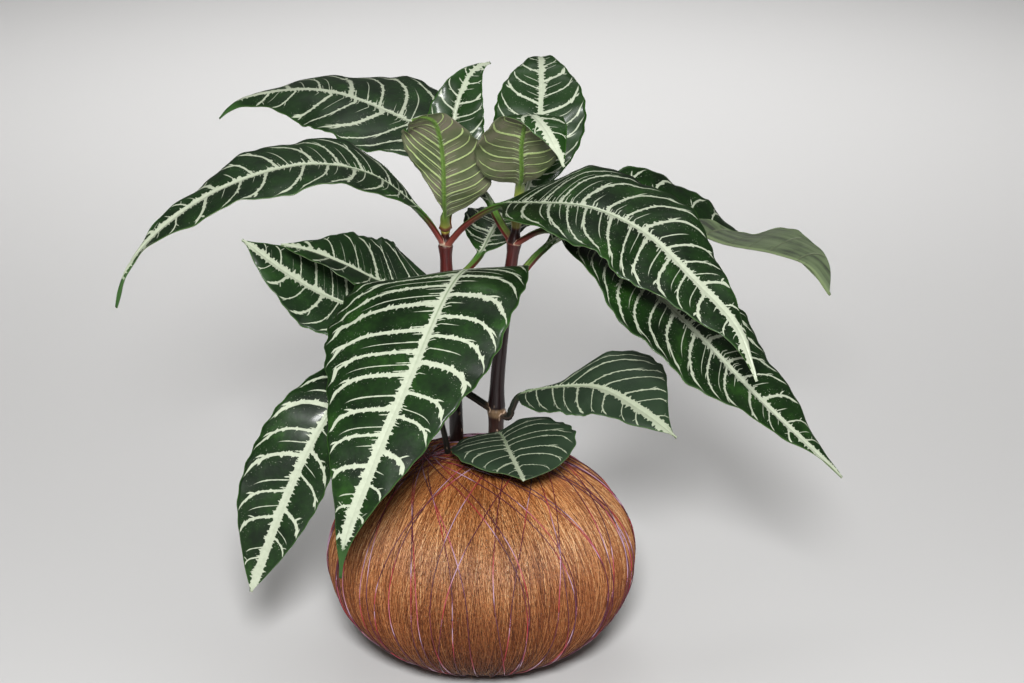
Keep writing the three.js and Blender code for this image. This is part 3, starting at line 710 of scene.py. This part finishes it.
# The greying share is the real dull age of the old lower leaves at the right, and a painted grey sheen of
# reflected light on the leaves that reach out to the left. It greys the green and the cream, roughens the
# blade and thins its coat.
green = g.tint(dull, green, g.tint(cloud, (0.013, 0.024, 0.014), (0.03, 0.052, 0.028)))
rim = 1 - g.step(g.attribute("edge"), 0.15 * mm, rim_width)
green = g.tint(rim * 0.6, green, (0.04, 0.11, 0.018))
cream = g.tint(grain, (0.31, 0.35, 0.255), (0.46, 0.5, 0.385))
cream = g.tint(dull * 0.5, cream, (0.27, 0.31, 0.2))
blade = g.tint(white, green, cream)
groove = (1 - g.step(far, 0.1 * mm, 0.8 * mm)) * (1 - g.step(g.attribute("share"), 0.15, 0.6))
blade = g.tint(groove * 0.8, blade, (0.1, 0.15, 0.07))
g.surface(
    Base_Color=with_stalk(g, blade), Roughness=0.46 + white * 0.1 + dull * 0.12, Specular_IOR_Level=0.15,
    Coat_Weight=(1 - dull) * 0.12, Coat_Roughness=0.16,
    Normal=g.bump(grain * 0.35 - white * 0.5, upper_relief),
)

leaf_under, g = new_material("leaf_lower_side")
where = g.place()
_, ridges, far = vein_masks(g, ragged=0.1)
young = g.attribute("young")
cloud = g.noise(where, 70, 3)
grain = g.noise(where, 600, 3)
lengthwise = g.noise(g.join(g.attribute("across") * 450, g.attribute("along") * 25, 0.0), 1.0, 2)
grown_green = g.ramp(
    lengthwise + (cloud - 0.5) * 0.4,
    (0.3, (0.03, 0.04, 0.022)), (0.5, (0.085, 0.12, 0.055)), (0.7, (0.12, 0.16, 0.08)),
)
young_grey = g.ramp(
    cloud, (0.35, (0.055, 0.075, 0.03)), (0.52, (0.095, 0.105, 0.055)), (0.7, (0.14, 0.125, 0.09)),
)
flesh = g.tint(young, grown_green, young_grey)
vein_green = g.tint(grain, (0.24, 0.32, 0.1), (0.42, 0.5, 0.24))
vein_green = g.tint(young, (0.09, 0.115, 0.055), vein_green)
blade = g.tint(ridges, flesh, vein_green)
rib_green = g.tint(young, (0.15, 0.2, 0.09), (0.11, 0.2, 0.035))
blade = g.tint(1 - g.step(far, 0.8 * mm, rib_width), blade, rib_green)
relief = g.bump(ridges * 0.8 + grain * 0.2, lower_relief)
g.surface(Base_Color=with_stalk(g, blade), Roughness=0.4, Normal=relief)

young_stalk = dict(
    sides=[(0, (0.12, 0.04, 0.02)), (0.2, (0.22, 0.23, 0.045)), (1, (0.12, 0.18, 0.03))],
    channel=[(0, (0.15, 0.1, 0.03)), (0.3, (0.2, 0.24, 0.045)), (1, (0.1, 0.18, 0.03))],
    lips=[(0, (0.1, 0.03, 0.015)), (1, (0.12, 0.09, 0.025))],
)
red_stalk = dict(
    sides=[(0, (0.24, 0.07, 0.05)), (0.12, (0.2, 0.04, 0.03)), (0.5, (0.12, 0.022, 0.018)),
        (0.8, (0.06, 0.06, 0.016)), (1, (0.03, 0.075, 0.014))],
    channel=[(0, (0.22, 0.1, 0.06)), (0.25, (0.11, 0.15, 0.03)), (1, (0.05, 0.13, 0.02))],
    lips=[(0, (0.1, 0.016, 0.014)), (0.7, (0.045, 0.008, 0.008)), (1, (0.02, 0.03, 0.01))],
)
old_stalk = dict(
    sides=[(0, (0.12, 0.08, 0.05)), (0.1, (0.018, 0.012, 0.01)), (1, (0.02, 0.02, 0.016))],
    channel=[(0, (0.12, 0.08, 0.05)), (0.1, (0.012, 0.012, 0.01)), (1, (0.016, 0.022, 0.014))],
    lips=[(0, (0.03, 0.02, 0.015)), (1, (0.03, 0.026, 0.02))],
)
# Each leaf's greying share: real dull age on the old lower leaves, a painted grey sheen on the leaves that
# reach to the left.
USUAL = dict(
    peak=(0.45, 0.45), base=(1.1, 1.1), tip=(1.2, 1.2), fold=(0.15, 0.15), veins=10, band=0.85,
    rib=(0.9, 2.2), spurs=0.3, dull=0.0, young=0.0, tip_green=0.0, sweep=(0.12, 0.12), wave=(2, 4, 0),
    tints=red_stalk,
)
LEAVES = {
    "left_top_front": dict(
        stalk=10, half=(20, 26), peak=(0.6, 0.36), base=(1.3, 1.2), tip=(1, 1.9), sweep=(0.7, 0.12),
        fold=(0.3, 0.15), wave=(1, 3, 0), face=[(0, 1, 0.3), (0, 1, 0.5)],
        route=[(-19, 13, 246), (-19, 7, 254), (-19, -4, 270), (-19, -9, 285), (-20, -15, 301),
            (-23, -24, 314), (-30, -34, 319), (-34, -42, 319)],
        veins=13, band=0.55, young=1.0, tints=young_stalk,
    ),
    "left_top_back": dict(
        stalk=14, half=(17, 15), tip=(1.2, 1.5), fold=(0.3, 0.3), wave=(1, 3, 1),
        face=[(0, -1, 0.4), (0, -1, 0.6)],
        route=[(-19, 13, 246), (-18, 19, 254), (-18, 22, 266), (-16, 30, 290), (-13, 36, 308), (-8, 42, 321),
            (-2, 50, 327), (5, 58, 328)],
        band=0.48, rib=(0.8, 1.1), young=0.6, tints=young_stalk,
    ),
    "left_upper_left": dict(
        stalk=25, half=(31, 28), peak=(0.28, 0.4), base=(2.2, 0.9), tip=(1.9, 1.9), fold=(0.12, 0.12),
        face=[(0, -0.2, 1), (0, -0.25, 1)],
        route=[(-19, 15, 236), (-30, 8, 255), (-55, 0, 279), (-89, -10, 288), (-132, -22, 279),
            (-165, -32, 259), (-183, -38, 239), (-189, -40, 219)],
        veins=12, dull=0.2, tip_green=1.0,
    ),
    "left_upper_right": dict(
        stalk=50, half=(37, 44), peak=(0.4, 0.3), base=(0.8, 0.7), tip=(1.3, 1.7), fold=(0.1, 0.1),
        wave=(2, 4, 2), face=[(0, -0.2, 1), (0, -0.3, 1)],
        route=[(-19, 15, 236), (-6, 0, 254), (10, -11, 266), (31, -24, 271), (58, -34, 271), (85, -46, 261),
            (109, -65, 242), (130, -85, 222), (139, -97, 199)],
        veins=14, band=0.8, rib=(0.9, 2.5),
    ),
    "left_middle_left": dict(
        stalk=6, half=(31, 20), peak=(0.35, 0.6), base=(0.1, 1.4), fold=(0.35, 0.35), wave=(1.5, 3, 0),
        face=[(0, -0.33, 1), (0, -0.33, 1)],
        route=[(-18, 16, 214), (-33, 2, 217), (-50, -5, 221), (-72, -12, 234), (-89, -15, 242),
            (-105, -16, 246)],
        veins=8, band=0.55, rib=(0.6, 1.5), spurs=0.2, dull=0.25,
    ),
    "left_middle_right": dict(
        stalk=30, half=(22, 22), wave=(1.5, 3, 0), face=[(0, 0, 1), (0, 0, 1)],
        route=[(-18, 16, 213), (-3, 35, 222), (8, 60, 235), (19, 85, 237), (33, 110, 227)],
        veins=8, band=0.7, rib=(1.2, 2.2),
    ),
    "left_lower_left": dict(
        stalk=28, half=(26, 24), base=(1.1, 0.8), wave=(1.5, 3, 1), face=[(0, -0.8, 1), (0, -0.8, 1)],
        route=[(-17, 17, 188), (-44, 5, 197), (-80, 0, 211), (-102, -5, 226), (-126, -10, 247)],
        band=0.5, rib=(0.7, 1.8), spurs=0.2, dull=0.25,
    ),
    "right_top_front": dict(
        stalk=22, half=(24, 21), peak=(0.35, 0.45), tip=(1.8, 1), fold=(-0.2, 0.15), wave=(1, 3, 0),
        face=[(0, 1, 0.2), (0, 0.3, 1), (0.3, -1, 0.3)],
        route=[(20, 9, 254), (20, 6, 261), (21, 4, 270), (22, -8, 284), (22, -22, 304), (26, -35, 320),
            (34, -47, 315), (43, -58, 299)],
        band=0.6, rib=(1.2, 2.4), young=1.0, tints=young_stalk,
    ),
    "right_top_back": dict(
        stalk=16, half=(25, 25), tip=(1.4, 1.4), wave=(1, 3, 2),
        face=[(0, -1, 0.4), (0, -1, 0.8), (0, 0, 1)],
        route=[(20, 9, 252), (22, 16, 259), (27, 30, 270), (31, 38, 290), (33, 50, 312), (33, 74, 327),
            (33, 90, 323)],
        veins=11, band=0.55, rib=(1.3, 1.4), young=0.6, tints=young_stalk,
    ),
    "right_upper_left": dict(
        stalk=30, half=(46, 39), peak=(0.5, 0.48), base=(3.2, 1.1), tip=(1.5, 1.5), fold=(0.35, -0.35),
        face=[(0, -0.25, 1), (0, -0.25, 1)],
        route=[(18, 10, 239), (10, 27, 247), (-1, 50, 263), (-15, 66, 277), (-45, 84, 291), (-87, 100, 303),
            (-121, 108, 301), (-141, 110, 295), (-152, 110, 285)],
        veins=12, band=0.95, rib=(1.0, 1.6), dull=0.2, tip_green=1.0,
    ),
    "right_upper_right": dict(
        stalk=27, half=(36, 36), tip=(1.9, 1.1), wave=(2, 4, 1), face=[(0, -0.2, 1), (0, -0.2, 1)],
        route=[(18, 10, 239), (37, -5, 251), (74, -25, 238), (109, -47, 211), (148, -65, 174),
            (187, -80, 140)],
        veins=16, band=0.75, rib=(1.0, 2.0),
    ),
    "right_middle_left": dict(
        stalk=27, half=(57, 38), peak=(0.36, 0.33), base=(0.8, 0.9), tip=(1.5, 1.4), fold=(-0.1, 0.15),
        face=[(-0.38, -0.5, 1), (-0.38, -1, 0.7), (-0.2, -1, 0.3)], sweep=(0.12, -0.3),
        route=[(13, 10, 206), (6, -8, 214), (0, -24, 229), (-6, -40, 240), (-15, -62, 236), (-35, -98, 199),
            (-53, -118, 160), (-66, -124, 125), (-69, -124, 104)],
        veins=15, band=1.15, rib=(1.5, 2.9), spurs=0.25, tip_green=1.0,
    ),
    "right_middle_right": dict(
        stalk=32, half=(19, 22), peak=(0.74, 0.5), base=(1.7, 0.8), tip=(1.1, 1.8), fold=(1.5, 0.4),
        face=[(0, -0.3, 1), (0, 0, 1), (0, 0.8, 1)],
        route=[(14, 10, 211), (35, 25, 232), (66, 42, 243), (100, 58, 241), (137, 75, 221), (169, 90, 210),
            (191, 98, 199), (204, 100, 181)],
        band=0.8,
    ),
    "right_lower_left": dict(
        stalk=38, half=(27, 18), peak=(0.62, 0.62), base=(0.75, 1.1), tip=(1, 1),
        face=[(0, -0.6, 1), (0, -1, 0.4)],
        route=[(8, 10, 142), (-14, 2, 160), (-35, -12, 175), (-56, -28, 179), (-71, -40, 172),
            (-87, -52, 151), (-103, -60, 118), (-122, -65, 68)],
        veins=12, band=1.0, rib=(1.2, 2.3), tints=old_stalk,
    ),
    "right_lower_right": dict(
        stalk=24, half=(24, 34), peak=(0.4, 0.57), base=(0.9, 3), tip=(1.2, 1.6), sweep=(0.2, 0.5),
        wave=(1.5, 3, 0), face=[(0, -0.4, 1), (0, -0.6, 1)],
        route=[(9, 10, 143), (15, 4, 141), (17, 2, 147), (20, 0, 154), (26, -4, 159), (48, -12, 165),
            (66, -22, 167), (88, -38, 159), (104, -47, 149)],
        veins=11, band=0.42, rib=(0.4, 2.6), dull=0.8, tints=old_stalk,
    ),
    "right_foot_front": dict(
        stalk=9, half=(30, 36), peak=(0.45, 0.6), base=(0.5, 0.5), tip=(1.2, 0.6), fold=(0.4, 0.15),
        wave=(1, 2, 0), face=[(-0.3, 0, 1), (0, -0.4, 1)],
        route=[(8, 10, 128), (10, 0, 133), (12, -8, 134), (16, -32, 134), (23, -60, 130)],
        veins=9, band=0.36, rib=(0.5, 1.2), dull=0.9, tints=old_stalk,
    ),
}
STALK_RADIUS = 1.9
STALK_START = 1.5 * mm
STALK_RINGS = 20
CLASP_REACH = 6
CLASP = 0.45
CHANNEL = 0.55
LIPS = 0.35
BLADE_THICKNESS = 0.75
BLADE_START = 0.08
DROOP = 0.1
WAVE_SHIFT = 1.7
NOTCH = 0.018
RUFFLE = 0.5
QUILT = 0.45
RIB_DIP = 0.22
LEAST_KEEL = 0.35
LEAST_REACH = 0.8
RIB_COLUMNS = (0.45, 0.9)
BLADE_COLUMNS = 14
SECTION_COLUMNS = 2 * (len(RIB_COLUMNS) + BLADE_COLUMNS) + 1
VEIN_TURN = 0.45
VEIN_CROWD = 0.35
VEIN_WANDER = 0.12
TIP_GREEN = (0.03, 0.08, 0.018, 1.0)
IN_MILLIMETRES = ("vein_gap", "vein_half", "spur_half", "across", "edge", "rib_half")
FIRST_SEED = 100


def face_at(faces, share):
    """The way a leaf's upper side looks at a share of its length."""
    place = min(max(share, 0.0), 1.0) * (len(faces) - 1)
    first = min(int(place), len(faces) - 2)
    start, end = (unit(np.array(faces[first + k], float)) for k in (0, 1))
    return start + (end - start) * smooth(place - first)


def blade_share(leaf, share, half):
    """How wide one half of the blade is at a share of its length, from 0 to 1."""
    if share <= 0 or share >= 1:
        return 0.0
    bend = math.log(0.5) / math.log(leaf["peak"][half])
    sharp = leaf["base"][half] if share < leaf["peak"][half] else leaf["tip"][half]
    return math.sin(math.pi * share ** bend) ** sharp


def leaf_section(leaf, share, marks):
    """One section across a leaf, in millimetres: its places, and the values that its finish reads."""
    blade = smooth(share / BLADE_START)
    clear = min(max(share, 0.0), 1.0)
    swing = math.sin(math.pi * clear)
    fold = leaf["fold"][0] + (leaf["fold"][1] - leaf["fold"][0]) * clear
    height, count, phase = leaf["wave"]
    angle = math.tau * count * share
    keel = max(STALK_RADIUS * (1 - clear) ** 0.8, LEAST_KEEL)
    halves = []
    for half, sign in ((1, -1), (0, 1)):
        notch = 1 + NOTCH * swing * math.sin(4.6 * angle + marks[half])
        reach = max(leaf["half"][half] * blade_share(leaf, share, half) * notch, LEAST_REACH)
        keel_here = min(keel, 0.55 * reach)
        inner = np.array(RIB_COLUMNS) * keel_here
        outer = keel_here + (reach - keel_here) * (np.arange(1, BLADE_COLUMNS + 1) / BLADE_COLUMNS) ** 0.9
        across = np.concatenate([[0.0], inner, outer])
        u = across / reach
        wave = height * math.sqrt(swing) * math.sin(angle + phase + (WAVE_SHIFT if half == 0 else 0))
        ruffle = RUFFLE * math.sqrt(swing) * math.sin(2.7 * angle + marks[2 + half])
        rise = reach * (fold * u - DROOP * u * u) + wave * u ** 2 + ruffle * u ** 4
        sweep = leaf["sweep"][half] + VEIN_TURN * clear
        bent = leaf["bend"] * reach * u ** 5
        origin = (leaf["length"] * clear - across * sweep - bent) / leaf["length"]
        density = leaf["veins"] * (1 + VEIN_CROWD * (1 - 2 * np.clip(origin, 0, 1))) / leaf["length"]
        number = leaf["veins"] * (origin + VEIN_CROWD * origin * (1 - origin))
        number += leaf["shift"][half] * np.clip(u / 0.04, 0, 1)
        number += VEIN_WANDER * np.sin(5 * origin * math.tau + marks[4 + half])
        slope = sweep + 5 * leaf["bend"] * u ** 4
        ends = smooth((0.97 - u) / 0.08) * smooth((origin - 0.01) / 0.03) * smooth((0.96 - origin) / 0.06)
        band = leaf["band"] * (0.6 + 0.5 * np.sin(math.pi * np.clip(origin, 0, 1) ** 0.8)) * ends
        band *= 0.92 - 0.3 * u + 0.6 * np.exp(-u / 0.05)
        spur = leaf["spurs"] * leaf["band"] * (1 - leaf["dull"]) * ends.max() * ends
        between = np.abs(number - np.floor(number) - 0.5) * 2
        quilt = QUILT * (1 - between ** 2.2) * math.sqrt(swing) * smooth(u / 0.25) * smooth((1 - u) / 0.3)
        rise += quilt * (1 - leaf["young"] * 0.4)
        thick = BLADE_THICKNESS * (1 - 0.5 * u) / 2
        round_under = np.sqrt(np.clip(keel_here ** 2 - across ** 2, 0, None))
        dip = RIB_DIP * keel_here * np.exp(-(across / (0.6 * keel_here)) ** 2)
        halves.append(dict(
            across=sign * across, top=rise + thick - dip, bottom=rise - thick - round_under, vein=number,
            vein_gap=1 / (density * np.sqrt(1 + slope ** 2)), vein_half=band, spur_half=spur, outward=u,
            edge=reach - across,
        ))
    left, right = halves
    row = {key: np.concatenate([left[key][::-1], right[key][1:]]) for key in left}
    turn = math.pi * (1 - (np.arange(SECTION_COLUMNS) + 0.5) / SECTION_COLUMNS)
    girth = STALK_RADIUS * (1 + CLASP * smooth(1 - leaf["from_stem"] / CLASP_REACH))
    lips = 1 + LIPS * np.abs(np.cos(turn)) ** 6
    channel = CHANNEL * girth * np.exp(-(np.cos(turn) / 0.45) ** 2)
    row["across"] = row["across"] * blade + girth * np.cos(turn) * lips * (1 - blade)
    row["top"] = row["top"] * blade + (girth * np.sin(turn) - channel) * (1 - blade)
    row["bottom"] = row["bottom"] * blade - girth * np.sin(turn) * (1 - blade)
    return row


def stalk_tints(parts, ahead):
    """Colours round a stalk: the channel and the lips are on its upper side."""
    sides, channel, lips = (mixed_tints(ahead, parts[key]) for key in ("sides", "channel", "lips"))
    off_middle = np.abs(np.cos(math.pi * (np.arange(SECTION_COLUMNS) + 0.5) / SECTION_COLUMNS))[:, None]
    upper = lips + (channel - lips) * smooth((0.84 - off_middle) / 0.1)
    upper += (sides - upper) * smooth((off_middle - 0.96) / 0.04)
    return np.concatenate([upper, np.tile(sides, (SECTION_COLUMNS, 1))])


def off_stem(points, stem):
    """How far points are outside a stem's skin."""
    route = np.array(stem["route"], float) * mm
    heights = points[..., 2]
    axis_x, axis_y = (np.interp(heights, route[:, 2], route[:, k]) for k in (0, 1))
    return np.hypot(points[..., 0] - axis_x, points[..., 1] - axis_y) - stem_radius(stem, heights / mm) * mm


def build_leaf(number, name, leaf):
    rng = np.random.default_rng(FIRST_SEED + number)
    marks = rng.uniform(0, math.tau, 6)
    leaf["shift"] = (0.0, rng.uniform(0.35, 0.65))
    line, distances = curve_through(leaf["route"])
    length = distances[-1]
    stalk = leaf["stalk"] * mm
    leaf["length"] = (length - stalk) / mm
    leaf["bend"] = min(0.55, 0.115 * leaf["length"] / max(leaf["half"]))
    stem = STEMS[name.split("_")[0]]
    clear_of_stem = min(distances[np.argmax(off_stem(line, stem) > 0)], 0.6 * stalk)
    blade_rings = 100 if leaf["length"] > 110 else 64
    wanted = np.concatenate([
        np.linspace(STALK_START, stalk, STALK_RINGS)[:-1],
        stalk + (length - stalk) * np.linspace(0, 1, blade_rings) ** 1.02,
    ])
    centres, ways = along_curve(line, distances, wanted)
    tip = np.tile(TIP_GREEN, (2 * SECTION_COLUMNS, 1))
    points, tints, rows = [], [], []
    for centre, way, distance in zip(centres, ways, wanted):
        share = (distance - stalk) / (length - stalk)
        clear = min(max(share, 0.0), 1.0)
        leaf["from_stem"] = distance / mm
        right = unit(np.cross(way, face_at(leaf["face"], share)))
        up = np.cross(right, way)
        row = leaf_section(leaf, share, marks)
        sideways = row["across"][:, None] * right
        upper = centre + mm * (sideways + row.pop("top")[:, None] * up)
        lower = centre + mm * (sideways + row.pop("bottom")[:, None] * up)
        points.append(np.concatenate([upper, lower[::-1]]))
        low, high = leaf["rib"]
        widest = low + (high - low) * smooth(clear / 0.8)
        rib = min(widest, 0.75 * abs(row["across"]).max()) * smooth((share + 0.02) / 0.05)
        rib *= 1 - leaf["tip_green"] * smooth((clear - 0.88) / 0.06)
        bare = 1 - smooth((share + 0.01) / 0.06)
        bare = max(bare, leaf["tip_green"] * smooth((clear - 0.9) / 0.05) * 0.8)
        row.update(share=share, along=distance, rib_half=rib, stalk=bare)
        rows.append({**row, "dull": leaf["dull"], "young": leaf["young"]})
        ahead = (distance - clear_of_stem) / (stalk - clear_of_stem)
        tints.append(stalk_tints(leaf["tints"], ahead) if share < 0.5 else tip)
    points = np.array(points)
    attributes = {"tint": np.array(tints), "off_stem": off_stem(points, stem)}
    for key in rows[0]:
        values = np.array([np.broadcast_to(row[key], SECTION_COLUMNS) for row in rows])
        values *= mm if key in IN_MILLIMETRES else 1
        attributes[key] = np.concatenate([values, values[:, ::-1]], axis=1)
    piece = ringed_mesh("blade_" + name, points, leaf_upper, attributes)
    piece.data.materials.append(leaf_under)
    below = np.arange(len(piece.data.polygons)) % (2 * SECTION_COLUMNS) >= SECTION_COLUMNS - 1
    piece.data.polygons.foreach_set("material_index", below.astype(np.int32))
    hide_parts("leaf_" + name)
    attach(piece, "root")


for number, (name, leaf) in enumerate(LEAVES.items()):
    build_leaf(number, name, {**USUAL, **leaf})


# Stage: a wide pale floor, one soft light above the camera, a broad one overhead, one for the far floor alone
# and an even grey surround.
floor_material, g = new_material("pale_paper")
g.surface(Base_Color=(0.62, 0.615, 0.61, 1), Roughness=0.9)
floor_reach = 8.0
corners = [(x * floor_reach, y * floor_reach, 0.0) for x, y in ((-1, -1), (1, -1), (1, 1), (-1, 1))]
mesh = bpy.data.meshes.new("floor")
mesh.from_pydata(corners, [], [(0, 1, 2, 3)])
mesh.materials.append(floor_material)
floor = add_object("floor", mesh)


def soft_light(name, place, aim, width, power, spread=180):
    lamp = bpy.data.lights.new(name, "AREA")
    lamp.spread = math.radians(spread)
    lamp.shape = "DISK"
    lamp.size = width
    lamp.energy = power
    body = add_object(name, lamp)
    body.location = place
    way = np.array(aim) - np.array(place)
    down = math.acos(-way[2] / np.linalg.norm(way))
    body.rotation_euler = (down, 0, math.atan2(way[1], way[0]) - math.pi / 2)


soft_light("key_light", place=(0.0, -1.2, 0.85), aim=(0, 0, 0.17), width=0.25, power=28)
soft_light("overhead_light", place=(0.1, 0.05, 1.5), aim=(0, 0, 0.2), width=1.2, power=4)
soft_light("far_floor_light", place=(0.0, 1.4, 1.9), aim=(0, 1.7, 0), width=1.8, power=14, spread=90)
surround = bpy.data.worlds.new("surround")
surround.use_nodes = True
grey = surround.node_tree.nodes["Background"].inputs
grey["Color"].default_value = (1.0, 0.98, 0.95, 1)
grey["Strength"].default_value = 0.14
scene.world = surround
scene.view_settings.view_transform = "Standard"
